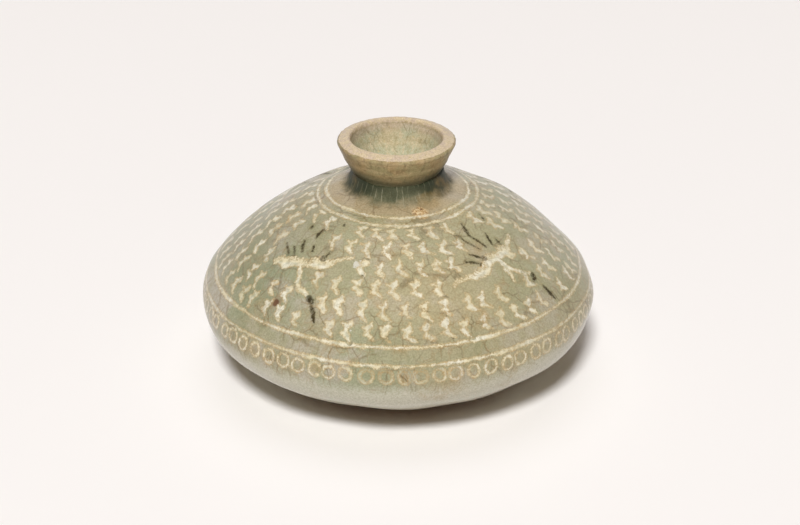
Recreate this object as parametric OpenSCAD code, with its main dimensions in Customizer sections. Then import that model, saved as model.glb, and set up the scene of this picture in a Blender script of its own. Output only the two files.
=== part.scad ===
// Celadon oil bottle with inlaid cranes and clouds.
// The low, wide body is thrown as two bowls luted at the widest line. The mouth cup is thrown
// by itself and luted on the neck. White and black slip lie flush in recesses carved in the shoulder.
// Height is measured from the table. Distances "up" run along the surface from the widest line.

/* [Body] */
// Greatest diameter of the body
body_d = 90; // [80:1:104]
// Radius of the rounded edge at the widest line
belly_round = 7.6; // [7.2:0.1:9]
// Radius of the shoulder, which is part of a sphere
shoulder_round = 52.3; // [50:0.1:56]
// Tilt of the surface where the rounded edge passes into the underside
underside_angle = 43; // [40:0.5:46]
// Radius of the underside's curve
underside_round = 36; // [33:0.5:40]
// Thickness of the thrown wall
wall = 3.6; // [3:0.1:4.4]

/* [Foot] */
// Outer diameter of the turned foot ring
foot_d = 45; // [40:0.5:50]
// Width of the foot ring
foot_w = 4.5; // [3:0.1:6]
// Height of the foot ring outside
foot_h = 1.4; // [1.2:0.1:2.5]
// Depth of the hollow turned inside the foot ring
foot_hollow = 1; // [0.5:0.1:1.1]
// Bevel on both edges of the foot ring
foot_bevel = 0.4; // [0.2:0.05:0.6]

/* [Neck and mouth] */
// Outer diameter of the neck where it is luted to the shoulder
neck_d = 19; // [17:0.5:21]
// Diameter of the pouring hole
bore_d = 10; // [8:0.5:12]
// Height of the neck below the cup
neck_h = 1.3; // [1:0.1:2.5]
// Diameter of the cup's underside where it overhangs the neck
cup_base_d = 20.4; // [20:0.1:23]
// Outer diameter of the mouth
mouth_d = 26.8; // [25:0.1:30]
// Height of the mouth's outer edge above the shoulder
mouth_h = 10.2; // [8.5:0.1:13]
// Radius of the cup's outer curve
cup_round = 32; // [24:0.5:45]
// Width of the sloping lip
lip_w = 2.75; // [2:0.05:3.2]
// Rise of the lip from its outer edge to its inner edge
lip_rise = 1.05; // [0.4:0.05:1.5]
// Radius of the cup's hollow
hollow_round = 14; // [11:0.5:20]
// Thickness of the cup's floor above the shoulder
cup_floor = 1.9; // [1.5:0.1:3]

/* [Pooled glaze] */
// Reach of the pooled glaze out from the neck
pool_reach = 3.1; // [2:0.1:4]
// Radius of the pooled glaze's hollow face
pool_round = 4.6; // [4.2:0.1:8]

/* [Inlaid lines] */
// Depth of every inlay below the surface
inlay_depth = 0.8; // [0.6:0.05:1.2]
// Width of the inlaid lines
line_w = 0.6; // [0.4:0.05:1]
// Distance of the inner neck line from the neck
neck_line_out = 6.7; // [5:0.1:8]
// Distance between the two neck lines
neck_line_gap = 2.3; // [1.6:0.1:4]
// Distance up of the lower band line
band_line_up = 4.05; // [3.95:0.05:4.1]
// Width of the plain band between the two band lines
band_w = 4; // [2.5:0.05:6]

/* [Stamped circles] */
// Distance up of the row of circles
circle_up = 1.8; // [1.7:0.05:2]
// Outer diameter of a stamped circle
circle_d = 3.2; // [2.6:0.05:3.3]
// Line width of a stamped circle
circle_w = 0.45; // [0.3:0.05:0.7]
// Spacing of the circles along the widest line
circle_pitch = 3.92; // [3.6:0.02:6]

/* [Cloud marks] */
// Distance of the lowest row above the upper band line
cloud_first = 3.2; // [2.8:0.05:4]
// Distance of the highest row below the outer neck line
cloud_last = 2.5; // [2.4:0.05:4]
// Spacing of the marks along a row
cloud_pitch = 4.2; // [3.8:0.05:7]
// Height of a mark
cloud_h = 3.8; // [2.4:0.1:4]
// Clear ground kept between a mark and the strokes of a crane
crane_clear = 0.5; // [0.3:0.1:1.5]

/* [Cranes] */
// Width that the cranes' drawings fill across the body
crane_w = 23.2; // [19:0.1:26]
// Width of a brush stroke that is drawn one wide
brush_w = 1; // [0.8:0.05:1.2]
// Clear ground between the lowest beak and the upper band line
crane_low = 2.8; // [1:0.1:5]
// Clear ground between the highest feather and the outer neck line
crane_high = 2.7; // [1:0.1:5]
// Angle of the front left crane round the body
front_left_at = -38; // [-50:1:-30]
// Angle of the front right crane round the body
front_right_at = 44; // [30:1:50]
// Angle of the back right crane round the body
back_right_at = 134; // [120:1:145]
// Angle of the back left crane round the body
back_left_at = -128; // [-145:1:-120]

/* [Hidden] */
$fn = 256;

// Colours
celadon = "#a5a58c";
worn_celadon = "#ab9c78";
pooled_green = "#4f5a48";
white_slip = "#e0d5b4";
black_slip = "#3c3626";

// How far cutting shapes run past what they cut
spare = 1;
// Rows of cloud marks, one node a row
cloud_rows = 6;
// A crane cannot come near marks that lie further round the body than this angle
crane_span = 60;
// The curves of the body meet in a crease this deep, too fine to see
crease = 0.01;

body_r = body_d / 2;
foot_r = foot_d / 2;
neck_r = neck_d / 2;
bore_r = bore_d / 2;
mouth_r = mouth_d / 2;
cup_base_r = cup_base_d / 2;

// Centres of the three curves of the body, as radius and height above the widest line
belly_c = [body_r - belly_round, 0];
shoulder_angle = acos(belly_c[0] / (shoulder_round - belly_round + crease));
shoulder_c = [0, -belly_c[0] * tan(shoulder_angle)];
underside_way = [cos(underside_angle), -sin(underside_angle)];
underside_c = belly_c - (underside_round - belly_round + crease) * underside_way;

// Heights above the widest line
function shoulder_z(r) = shoulder_c[1] + sqrt(pow(shoulder_round, 2) - pow(r, 2));
function underside_z(r) = underside_c[1] - sqrt(pow(underside_round, 2) - pow(r - underside_c[0], 2));
seat_z = shoulder_z(neck_r);
inside_floor_z = underside_c[1] - underside_round + wall;
table_z = underside_z(foot_r) - foot_h;

// Surface distances up from the widest line, and the tilt of the surface there
belly_length = belly_round * shoulder_angle * PI / 180;
neck_angle = acos(neck_r / shoulder_round);
neck_up = belly_length + shoulder_round * (neck_angle - shoulder_angle) * PI / 180;
neck_line_inner_up = neck_up - neck_line_out;
neck_line_outer_up = neck_line_inner_up - neck_line_gap;
band_line_upper_up = band_line_up + band_w;
line_ups = [neck_line_inner_up, neck_line_outer_up, band_line_upper_up, band_line_up];
function on_belly(up) = up < belly_length;
function tilt(up) = on_belly(up) ? up / belly_round * 180 / PI
    : shoulder_angle + (up - belly_length) / shoulder_round * 180 / PI;
function curve_c(up) = on_belly(up) ? belly_c : shoulder_c;
function curve_r(up) = on_belly(up) ? belly_round : shoulder_round;
function profile(up) = curve_c(up) + curve_r(up) * [cos(tilt(up)), sin(tilt(up))];

// Rows of marks
circle_count = floor(2 * PI * body_r / circle_pitch);
cloud_step = (neck_line_outer_up - cloud_last - band_line_upper_up - cloud_first) / (cloud_rows - 1);
function cloud_up(row) = band_line_upper_up + cloud_first + (row - 1) * cloud_step;
function cloud_count(row) = floor(2 * PI * profile(cloud_up(row))[0] / cloud_pitch);
function cloud_at(row, i) = (i + row / 2) * 360 / cloud_count(row);
cloud_outline = cloud_h / 4 * [[0.7, 2], [0.75, 0.85], [0.25, 0.05], [0.5, -0.85], [1.4, -2],
    [0.1, -1.35], [-1, -0.4], [-0.2, -0.2], [-0.35, 0.5], [-1, 1.1], [0, 1.3]];

// A crane flies head down: a bow of two wings, a neck, a head with a beak, and a fan of feathers.
// Strokes are lists of [across, up the slope, width], and are scaled to the ground that the cranes may fill.
wings_left = [[-10.8, -0.7, 0.2], [-8.6, -1.1, 1.7], [-5.8, -0.9, 2.6], [-2.4, -0.2, 1.6],
    [1.4, 0.7, 2.5], [4.2, 1.5, 1.9], [6.3, 4.0, 0.8], [8.5, 6.3, 0.2]];
neck_left = [[-2.4, -0.8, 0.6], [-1.3, -2.8, 0.7], [-0.9, -4.6, 0.9], [0.4, -5.7, 0.8],
    [2.3, -6.1, 0.8], [3.8, -6.8, 0.6]];
head_left = [[3.9, -6.9, 0.5], [4.5, -7.1, 1.2], [5.1, -7.5, 0.5]];
beak_left = [[5.3, -8.4, 0.5], [6.3, -9.4, 1.0], [7.5, -11.1, 0.3]];
feathers_left = [[[-9.6, 3.7, 0.3], [-8.6, 2.5, 0.6], [-7.4, 1.4, 0.3]],
    [[-7.1, 3.5, 0.2], [-6.5, 2.6, 0.5], [-5.8, 1.6, 0.3]],
    [[-5.5, 5.5, 0.3], [-5.1, 4.3, 0.7], [-4.2, 2.6, 0.3]],
    [[-3.0, 9.9, 0.3], [-3.4, 8.7, 0.9], [-3.3, 7.2, 0.2]],
    [[-2.5, 5.1, 0.2], [-2.2, 4.3, 0.6], [-1.8, 3.5, 0.3]],
    [[2.3, 4.4, 0.3], [2.1, 3.6, 0.6], [2.0, 3.0, 0.3]]];

wings_right = [[-12.9, -0.6, 0.2], [-9.5, -0.6, 0.7], [-5.2, -1.0, 2.3], [-2.0, -0.2, 1.8],
    [1.6, 0.8, 2.2], [5.0, 1.6, 2.0], [7.6, 3.6, 1.0], [9.8, 5.3, 0.2]];
neck_right = [[1.4, 0.4, 1.4], [2.0, -2.0, 1.0], [3.3, -3.3, 0.6], [5.1, -4.5, 0.6], [7.4, -5.6, 0.4]];
head_right = [[7.8, -5.9, 0.4], [7.4, -6.6, 1.3], [6.7, -7.2, 0.4]];
beak_right = [[8.8, -9.1, 0.4], [9.4, -10.5, 0.9], [10.3, -12.4, 0.3]];
feathers_right = [[[-6.5, 2.9, 0.3], [-5.4, 2.3, 0.6], [-4.0, 1.4, 0.3]],
    [[-4.1, 4.1, 0.2], [-2.9, 2.9, 0.6], [-1.7, 1.9, 0.3]],
    [[-2.7, 7.4, 0.2], [-1.9, 5.8, 0.4], [-1.1, 4.4, 0.2]],
    [[-0.1, 11.7, 0.2], [-0.6, 9.7, 0.8], [-0.7, 8.4, 0.3]],
    [[0.4, 6.0, 0.3], [0.7, 5.2, 0.6], [0.9, 4.3, 0.3]],
    [[3.4, 7.2, 0.2], [3.1, 5.7, 0.6], [2.9, 4.2, 0.3]],
    [[4.9, 5.2, 0.3], [5.0, 4.6, 0.6], [5.2, 3.9, 0.3]]];

strokes_left = concat([wings_left, neck_left, head_left, beak_left], feathers_left);
strokes_right = concat([wings_right, neck_right, head_right, beak_right], feathers_right);
drawn_acrosses = [for (points = concat(strokes_left, strokes_right), p = points) p[0]];
drawn_ups = [for (points = concat(strokes_left, strokes_right), p = points) p[1]];
crane_h = neck_line_outer_up - crane_high - band_line_upper_up - crane_low;
crane_scale = [crane_w / (max(drawn_acrosses) - min(drawn_acrosses)),
    crane_h / (max(drawn_ups) - min(drawn_ups))];
crane_middle = band_line_upper_up + crane_low - crane_scale[1] * min(drawn_ups);
function scaled(strokes) = [for (points = strokes) [for (p = points)
    [crane_scale[0] * p[0], crane_scale[1] * p[1], brush_w * p[2]]]];
white_left = scaled([wings_left, neck_left]);
white_right = scaled([wings_right, neck_right]);
black_left = scaled(concat([head_left, beak_left], feathers_left));
black_right = scaled(concat([head_right, beak_right], feathers_right));
cranes = [[front_left_at, concat(white_left, black_left)], [front_right_at, concat(white_right, black_right)],
    [back_right_at, concat(white_left, black_left)], [back_left_at, concat(white_right, black_right)]];

// The drawings are flat, so strokes are carried far enough in and out of them to reach the round clay
crane_far = norm([crane_w, crane_h]) * 3 / 4;
drawing_reach = shoulder_round - sqrt(pow(shoulder_round, 2) - pow(crane_far, 2)) + inlay_depth;

// Marks that would come too near a crane's stroke are left out
function spot(p) = [p[0], p[1]];
function along(p, a, b) = max(0, min(1, (p - a) * (b - a) / ((b - a) * (b - a))));
function gap_to(p, a, b) = norm(p - spot(a) - along(p, spot(a), spot(b)) * (spot(b) - spot(a)))
    - max(a[2], b[2]) / 2;
function stroke_gap(p, points) = min([for (i = [1 : len(points) - 1])
    gap_to(p, points[i - 1], points[i])]);
// Where a place on the clay lies in the flat drawing of a crane
function in_drawing(at, up, crane_at) = let (place = profile(up), turn = at - crane_at,
    middle = profile(crane_middle), back = middle[0] - place[0] * cos(turn)) [place[0] * sin(turn),
    back * sin(tilt(crane_middle)) + (place[1] - middle[1]) * cos(tilt(crane_middle))];
function crane_gap(at, up, crane) = cos(at - crane[0]) < cos(crane_span) ? crane_clear + spare
    : min([for (corner = cloud_outline, points = crane[1]) stroke_gap(
        in_drawing(at + corner[0] / profile(up)[0] * 180 / PI, up + corner[1], crane[0]), points)]);
function clear_of_cranes(at, up) = min([for (crane = cranes) crane_gap(at, up, crane)]) > crane_clear;

// The centre of an arc of a given radius that runs from p to q with its centre on the left hand
function arc_centre(p, q, radius) = let (d = q - p, half = norm(d) / 2)
    (p + q) / 2 + sqrt(radius * radius - half * half) * [-d[1], d[0]] / norm(d);

// A smooth line through points, as in a brush stroke
function blend(a, b, c, d, t) = 0.5 * (2 * b + (c - a) * t + (2 * a - 5 * b + 4 * c - d) * t * t
    + (3 * b - a - 3 * c + d) * t * t * t);
function smooth(points, steps) = let (last = len(points) - 1) concat(
    [for (i = [0 : last - 1], k = [0 : steps - 1])
        blend(points[max(i - 1, 0)], points[i], points[i + 1], points[min(i + 2, last)], k / steps)],
    [points[last]]);
function heading(line, i) = let (a = line[max(i - 1, 0)], b = line[min(i + 1, len(line) - 1)],
    d = spot(b) - spot(a)) d / norm(d);
function side(line, i, hand) = let (way = heading(line, i))
    spot(line[i]) + hand * line[i][2] / 2 * [-way[1], way[0]];

// Flat shapes

module wedge(from, to, reach) {
    middle = (from + to) / 2;
    far = reach / cos((to - from) / 2);
    polygon([[0, 0], reach * [cos(from), sin(from)], far * [cos(middle), sin(middle)],
        reach * [cos(to), sin(to)]]);
}

module arc_band(centre, outer, thick, from, to) {
    translate(centre) intersection() {
        difference() {
            circle(outer);
            circle(outer - thick);
        }
        wedge(from, to, outer + spare);
    }
}

module stroke(points, steps = 2) {
    line = smooth(points, steps);
    last = len(line) - 1;
    polygon(concat([for (i = [0 : last]) side(line, i, 1)], [for (i = [last : -1 : 0]) side(line, i, -1)]));
}

// Solids round the axis

module turned() {
    translate([0, 0, -table_z]) rotate_extrude() children();
}

// The outer layer of the clay at a distance up: thick is its depth, over is its reach above the surface
module clay_layer(up, thick, over = 0) {
    low = on_belly(up) ? 0 : shoulder_angle;
    high = on_belly(up) ? shoulder_angle : neck_angle;
    turned() arc_band(curve_c(up), curve_r(up) + over, thick + over, low, high);
}

// Section of the groove that is turned in the clay for an inlaid line
module line_groove(up) {
    translate(profile(up)) rotate(tilt(up)) translate([-inlay_depth, -line_w / 2])
        square([inlay_depth + spare, line_w]);
}

module inlaid_line(up) {
    color(white_slip) turned() intersection() {
        line_groove(up);
        translate(curve_c(up)) circle(curve_r(up));
    }
}

// Things on the surface: +X runs round the body to the right, +Y up the slope and +Z out of the clay

module on_clay(at, up) {
    rotate([0, 0, at]) translate([0, -profile(up)[0], profile(up)[1] - table_z])
        rotate([90 - tilt(up), 0, 0]) children();
}

module circle_stamp() {
    translate([0, 0, -inlay_depth]) linear_extrude(inlay_depth + spare) difference() {
        circle(circle_d / 2);
        circle(circle_d / 2 - circle_w);
    }
}

module circle_stamps() {
    for (i = [0 : circle_count - 1]) on_clay((i + 0.5) * 360 / circle_count, circle_up) circle_stamp();
}

module cloud_stamps(row) {
    for (i = [0 : cloud_count(row) - 1])
        if (clear_of_cranes(cloud_at(row, i), cloud_up(row)))
            on_clay(cloud_at(row, i), cloud_up(row))
                translate([0, 0, -inlay_depth]) linear_extrude(inlay_depth + spare) polygon(cloud_outline);
}

// Strokes of a crane, carved straight in from the front of the crane down to an even depth
module crane_strokes(at, strokes, over = 0) {
    intersection() {
        clay_layer(crane_middle, inlay_depth, over);
        on_clay(at, crane_middle) translate([0, 0, -drawing_reach]) linear_extrude(2 * drawing_reach)
            for (points = strokes) stroke(points);
    }
}

// Sub-parts

// All that lies inside a body curve and the rounded edge, set in by a wall's thickness.
// The two curves pass into each other where the surface has the given tilt.
module body_half(centre, radius, angle, set_in) {
    out = body_d / abs(sin(angle)) * [cos(angle), sin(angle)];
    intersection() {
        translate(centre) circle(radius - set_in);
        union() {
            translate(belly_c) circle(belly_round - set_in);
            polygon([[0, 0], belly_c, belly_c + out, [0, out[1]]]);
        }
    }
}

module lower_bowl() {
    hollow_z = table_z + foot_hollow;
    core_z = inside_floor_z + spare;
    foot_in = foot_r - foot_w;
    color(celadon) turned() difference() {
        union() {
            intersection() {
                body_half(underside_c, underside_round, -underside_angle, 0);
                translate([0, hollow_z]) square([body_r, -hollow_z]);
            }
            polygon([[0, hollow_z], [foot_in, hollow_z], [foot_in, table_z + foot_bevel],
                [foot_in + foot_bevel, table_z], [foot_r - foot_bevel, table_z],
                [foot_r, table_z + foot_bevel], [foot_r, core_z], [0, core_z]]);
        }
        intersection() {
            body_half(underside_c, underside_round, -underside_angle, wall);
            translate([underside_c[0] - spare, -body_r]) square([body_r, body_d]);
        }
        translate([0, inside_floor_z + crease]) square([underside_c[0], body_r]);
    }
}

module dome_blank() {
    turned() difference() {
        intersection() {
            body_half(shoulder_c, shoulder_round, shoulder_angle, 0);
            translate([bore_r, 0]) square([body_r, seat_z]);
        }
        body_half(shoulder_c, shoulder_round, shoulder_angle, wall);
        for (up = line_ups) line_groove(up);
    }
}

module shoulder_dome() {
    color(celadon) difference() {
        dome_blank();
        circle_stamps();
        for (row = [1 : cloud_rows]) cloud_stamps(row);
        for (crane = cranes) crane_strokes(crane[0], crane[1], spare);
    }
}

module mouth_cup() {
    lip_in = [mouth_r - lip_w, mouth_h + lip_rise];
    cup_c = arc_centre([cup_base_r, neck_h], [mouth_r, mouth_h], cup_round);
    hollow_c = arc_centre([bore_r, cup_floor], lip_in, hollow_round);
    color(worn_celadon) translate([0, 0, seat_z]) turned() difference() {
        union() {
            square([neck_r, neck_h + spare]);
            intersection() {
                translate(cup_c) circle(cup_round);
                polygon([[0, neck_h], [mouth_r + spare, neck_h], [mouth_r + spare, mouth_h],
                    [mouth_r, mouth_h], lip_in, [0, lip_in[1]]]);
            }
        }
        translate([0, -spare]) square([bore_r, cup_floor + 2 * spare]);
        intersection() {
            translate(hollow_c) circle(hollow_round);
            translate([0, cup_floor]) square([mouth_r, lip_in[1]]);
        }
    }
}

module neck_glaze_pool() {
    rim = [neck_r + pool_reach, shoulder_z(neck_r + pool_reach)];
    top = [cup_base_r, seat_z + neck_h];
    color(pooled_green) turned() difference() {
        polygon([[neck_r, seat_z - spare], rim - [0, spare], rim, top, [neck_r, top[1]]]);
        translate(shoulder_c) circle(shoulder_round);
        translate(arc_centre(top, rim, pool_round)) circle(pool_round);
    }
}

module circle_row() {
    color(white_slip) intersection() {
        clay_layer(circle_up, 2 * inlay_depth);
        circle_stamps();
    }
}

module cloud_row(row) {
    color(white_slip) intersection() {
        clay_layer(cloud_up(row), 2 * inlay_depth);
        cloud_stamps(row);
    }
}

module crane_white(at, strokes) { color(white_slip) crane_strokes(at, strokes); }
module crane_black(at, strokes) { color(black_slip) crane_strokes(at, strokes); }

lower_bowl();
shoulder_dome();
mouth_cup();
neck_glaze_pool();
inlaid_line(neck_line_inner_up);  // neck_line_inner
inlaid_line(neck_line_outer_up);  // neck_line_outer
inlaid_line(band_line_upper_up);  // band_line_upper
inlaid_line(band_line_up);  // band_line_lower
circle_row();
cloud_row(1);  // cloud_row_1
cloud_row(2);  // cloud_row_2
cloud_row(3);  // cloud_row_3
cloud_row(4);  // cloud_row_4
cloud_row(5);  // cloud_row_5
cloud_row(6);  // cloud_row_6
crane_white(front_left_at, white_left);  // crane_front_left_white
crane_black(front_left_at, black_left);  // crane_front_left_black
crane_white(front_right_at, white_right);  // crane_front_right_white
crane_black(front_right_at, black_right);  // crane_front_right_black
crane_white(back_right_at, white_left);  // crane_back_right_white
crane_black(back_right_at, black_left);  // crane_back_right_black
crane_white(back_left_at, white_right);  // crane_back_left_white
crane_black(back_left_at, black_right);  // crane_back_left_black
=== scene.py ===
"""A celadon oil bottle with cranes, clouds, circles and lines inlaid in slip under a crackled glaze.

Sizes are in millimetres, and become metres where a mesh is made. A place on the body is given by
"at", its angle round the body to the right of the front, in degrees, and by "up", its distance
along the surface from the widest line. A drawing lies flat on the clay: x runs to the right and
y up the slope.
"""

import math

import bpy
import numpy as np
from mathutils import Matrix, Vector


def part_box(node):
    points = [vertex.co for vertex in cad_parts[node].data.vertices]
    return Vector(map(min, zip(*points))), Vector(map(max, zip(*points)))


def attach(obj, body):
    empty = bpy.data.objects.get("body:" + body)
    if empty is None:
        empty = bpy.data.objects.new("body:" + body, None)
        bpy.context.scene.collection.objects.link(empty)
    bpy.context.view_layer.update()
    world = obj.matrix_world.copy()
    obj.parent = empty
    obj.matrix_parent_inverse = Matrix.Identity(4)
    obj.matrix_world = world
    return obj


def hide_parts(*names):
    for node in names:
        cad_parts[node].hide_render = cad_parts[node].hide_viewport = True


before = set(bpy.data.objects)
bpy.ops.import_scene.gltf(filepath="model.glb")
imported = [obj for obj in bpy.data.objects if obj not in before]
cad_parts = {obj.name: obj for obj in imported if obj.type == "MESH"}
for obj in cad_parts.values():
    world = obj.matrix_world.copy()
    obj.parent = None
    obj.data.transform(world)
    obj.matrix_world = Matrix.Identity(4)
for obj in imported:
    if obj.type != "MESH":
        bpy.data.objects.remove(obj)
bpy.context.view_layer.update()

MM = 0.001
full_turn = 6.28
chance = np.random.default_rng(12)

# Sizes taken from the frame
body_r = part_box("shoulder_dome")[1].x / MM
belly_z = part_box("lower_bowl")[1].z / MM
mouth_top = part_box("mouth_cup")[1].z / MM
neck_r = 9.5

# The three curves of the body's outside, which pass into each other without a crease
belly_round = 9.18
shoulder_round = 59.9
shoulder_tilt = math.radians(37.74)
underside_round = 41.2
underside_tilt = math.radians(-49.9)
wall = 3.6
bore_r = 5.0
foot_r = 22.5
foot_in = 18.0
foot_hollow = 1.0
floor_z = 4.5

# Inlaid lines: distance up, and the part of the slip that is lost
inlaid_lines = {"neck_line_inner": (40.0, 0.1), "neck_line_outer": (37.7, 0.2),
                "band_line_upper": (8.05, 0.15), "band_line_lower": (4.15, 0.3)}
line_w = 0.46
line_half = 0.95

# Rows of stamped circles and clouds: distances up, counts and the angle of the first
circle_up = 1.75
circle_count = 72
circle_first = 1.4
circle_d = 3.25
circle_w = 0.3
circle_step = 0.19
cloud_ups = (11.3, 16.1, 21.0, 25.9, 30.7, 35.4)
cloud_counts = (58, 50, 46, 44, 37, 32)
cloud_firsts = (2.7, 2.0, 7.1, 0.1, 4.0, 8.6)

# Slip stands this far above the clay and is sunk this deep, with a skirt of clear glaze round it
slip_lift = 0.012
slip_sink = 0.3
slip_skirt = 0.6
slip_step = 0.2


# Surface of the body

def arc_centres():
    """Centres of the belly, shoulder and underside curves, as radius and height."""
    belly = np.array([body_r - belly_round, belly_z])
    shoulder_way = np.array([math.cos(shoulder_tilt), math.sin(shoulder_tilt)])
    underside_way = np.array([math.cos(underside_tilt), math.sin(underside_tilt)])
    shoulder = belly - (shoulder_round - belly_round) * shoulder_way
    underside = belly - (underside_round - belly_round) * underside_way
    return belly, shoulder, underside


belly_c, shoulder_c, underside_c = arc_centres()
shoulder_from = belly_round * shoulder_tilt
underside_from = belly_round * underside_tilt


def profile(up):
    """Radius, height and tilt of the body's outside at a distance up from the widest line."""
    up = np.asarray(up, float)
    on_shoulder = up > shoulder_from
    on_underside = up < underside_from
    tilt = np.where(on_shoulder, shoulder_tilt + (up - shoulder_from) / shoulder_round, up / belly_round)
    tilt = np.where(on_underside, underside_tilt + (up - underside_from) / underside_round, tilt)
    curve = np.where(on_shoulder, shoulder_round, np.where(on_underside, underside_round, belly_round))
    centre = np.where(on_underside[..., None], underside_c, belly_c)
    centre = np.where(on_shoulder[..., None], shoulder_c, centre)
    return centre[..., 0] + curve * np.cos(tilt), centre[..., 1] + curve * np.sin(tilt), tilt


def up_at_radius(radius):
    """Distance up of the shoulder where the body has this radius."""
    tilt = math.acos((radius - shoulder_c[0]) / shoulder_round)
    return shoulder_from + shoulder_round * (tilt - shoulder_tilt)


neck_up = up_at_radius(neck_r)
seat_z = float(profile(neck_up)[1])


def make_waves(count, longest):
    """Random waves round and up the body, which together make a hand-thrown wall uneven."""
    turns = chance.integers(1, 15, count)
    lengths = longest / chance.uniform(1, 6, count)
    steepness = np.hypot(turns, full_turn * body_r / lengths)
    return turns, lengths, chance.uniform(0, full_turn, count), 1 / steepness


waves = make_waves(28, 70.0)
oval = 0.07
wheel_ridge = 0.012
lumps = 0.42


def thrown(at, up):
    """How far the clay lies outside its true profile: slightly oval, lumpy and ridged from the wheel."""
    turn = np.radians(at)
    uneven = oval * np.cos(2 * turn + 0.7) + wheel_ridge * np.sin(up * 1.55 + 0.6 * np.sin(turn))
    for turns, length, start, height in zip(*waves):
        uneven = uneven + lumps * height * np.sin(turns * turn + full_turn * up / length + start)
    return uneven


# Angle, distance up and radius of the pit, the grit, the white fleck and the stained spots
pit_at, pit_up, pit_r = -43.3, 13.0, 1.15
grit_at, grit_up, grit_r = 19.5, 41.0, 2.3
fleck_at, fleck_up, fleck_r = -18.0, 26.3, 1.1
stains = [(-23.0, 2.0, 1.5), (1.5, 1.2, 1.6), (-10.0, 19.5, 1.1), (13.0, 2.2, 1.0)]

# Dents and lumps: angle, distance up, radius and height
flaws = [(pit_at, pit_up, 0.62, -0.42), (grit_at - 2, grit_up + 0.3, 0.55, 0.12),
         (grit_at + 2.4, grit_up, 0.5, 0.14), (grit_at, grit_up - 0.6, 0.45, -0.15),
         (62.0, 30.5, 0.4, -0.14), (-20.0, 14.0, 0.35, -0.12), (3.0, 28.0, 0.3, 0.1),
         (150.0, 20.0, 0.5, -0.2), (-100.0, 27.0, 0.4, 0.12), (95.0, 14.0, 0.4, -0.16)]


def flawed(at, up):
    """Dents and lumps of the glaze, above or below the thrown surface."""
    depth = 0.0
    for flaw_at, flaw_up, size, height in flaws:
        across = ((at - flaw_at + 180) % 360 - 180) * np.radians(profile(flaw_up)[0])
        depth = depth + height * np.exp(-(across ** 2 + (up - flaw_up) ** 2) / size ** 2)
    return depth


def on_clay(at, up, out=0.0):
    """Points of the uneven surface, or out millimetres above it."""
    radius, height, tilt = profile(up)
    away = out + thrown(at, up) + flawed(at, up)
    radius = radius + away * np.cos(tilt)
    height = height + away * np.sin(tilt)
    turn = np.radians(at)
    return np.stack([radius * np.sin(turn), -radius * np.cos(turn), height + 0 * turn], -1)


# Meshes

crease = math.radians(38)


def add_object(name, data):
    """A new object in the scene."""
    thing = bpy.data.objects.new(name, data)
    bpy.context.scene.collection.objects.link(thing)
    return thing


def add_mesh(name, points, faces, material):
    """A new mesh in the scene, from points in metres."""
    mesh = bpy.data.meshes.new(name)
    mesh.from_pydata(points.tolist(), [], [tuple(map(int, face)) for face in faces])
    mesh.materials.append(material)
    return add_object(name, mesh)


def make_piece(name, points, faces, material, slot, marks=None):
    """A piece of the bottle from points in millimetres. It rides on the body and stands for its CAD node."""
    piece = add_mesh(f"glazed_{name}", np.reshape(points, (-1, 3)) * MM, faces, material)
    mesh = piece.data
    for mark, values in (marks or {}).items():
        values = np.asarray(values, np.float32)
        mesh.attributes.new(mark, "FLOAT", "POINT").data.foreach_set("value", values)
    mesh.shade_smooth()
    mesh.set_sharp_from_angle(angle=crease)
    mesh.validate()
    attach(piece, "root")
    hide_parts(name)


def ring_faces(rings):
    """Quads between neighbouring rings of points, and between the last and the first."""
    rows, columns = rings.shape[:2]
    row, column = np.meshgrid(np.arange(rows), np.arange(columns), indexing="ij")
    after = (row + 1) % rows
    beside = (column + 1) % columns
    quads = [row * columns + column, row * columns + beside,
             after * columns + beside, after * columns + column]
    return np.stack(quads, -1).reshape(-1, 4)


def turned_rings(section, columns):
    """Rings of points from a section of radii and heights."""
    section = np.asarray(section, float)
    turn = np.arange(columns) * 2 * math.pi / columns
    radius, height = section[:, :1], section[:, 1:]
    return np.stack([radius * np.sin(turn), -radius * np.cos(turn), height + 0 * turn], -1)


def smooth_line(points, step):
    """A smooth curve through the points, with a point about every step."""
    points = np.asarray(points, float)
    line = []
    for i in range(len(points) - 1):
        a, b = points[max(i - 1, 0)], points[i]
        c, d = points[i + 1], points[min(i + 2, len(points) - 1)]
        count = max(1, round(float(np.linalg.norm(c - b)) / step))
        for t in np.arange(count) / count:
            line.append(0.5 * (2 * b + (c - a) * t + (2 * a - 5 * b + 4 * c - d) * t ** 2
                               + (3 * b - a - 3 * c + d) * t ** 3))
    return np.array(line + [points[-1]])


# Pieces of clay and glaze

columns_round = 720
angles_round = np.arange(columns_round) * 360 / columns_round
inside_past_neck = 4.3
bore_edge = 1.5


def body_rings(ups):
    """Rings of the uneven outside at distances up."""
    return on_clay(angles_round[None, :], np.asarray(ups)[:, None])


def inner_wall(up_from, up_to, count):
    """Section of the inside, a wall's thickness in from the outside."""
    radius, height, tilt = profile(np.linspace(up_from, up_to, count))
    return np.stack([radius - wall * np.cos(tilt), height - wall * np.sin(tilt)], -1)


def shoulder_dome(material):
    """The upper half of the body, open at the bore."""
    ups = np.concatenate([np.arange(0, 1, 0.1), np.arange(1, neck_up, 0.3), [neck_up]])
    bore = [(bore_r, seat_z), (bore_r, seat_z - bore_edge)]
    inside = bore + list(inner_wall(neck_up + inside_past_neck, 0, 60))
    rings = np.concatenate([body_rings(ups), turned_rings(inside, columns_round)])
    make_piece("shoulder_dome", rings, ring_faces(rings), material, "celadon")


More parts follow.
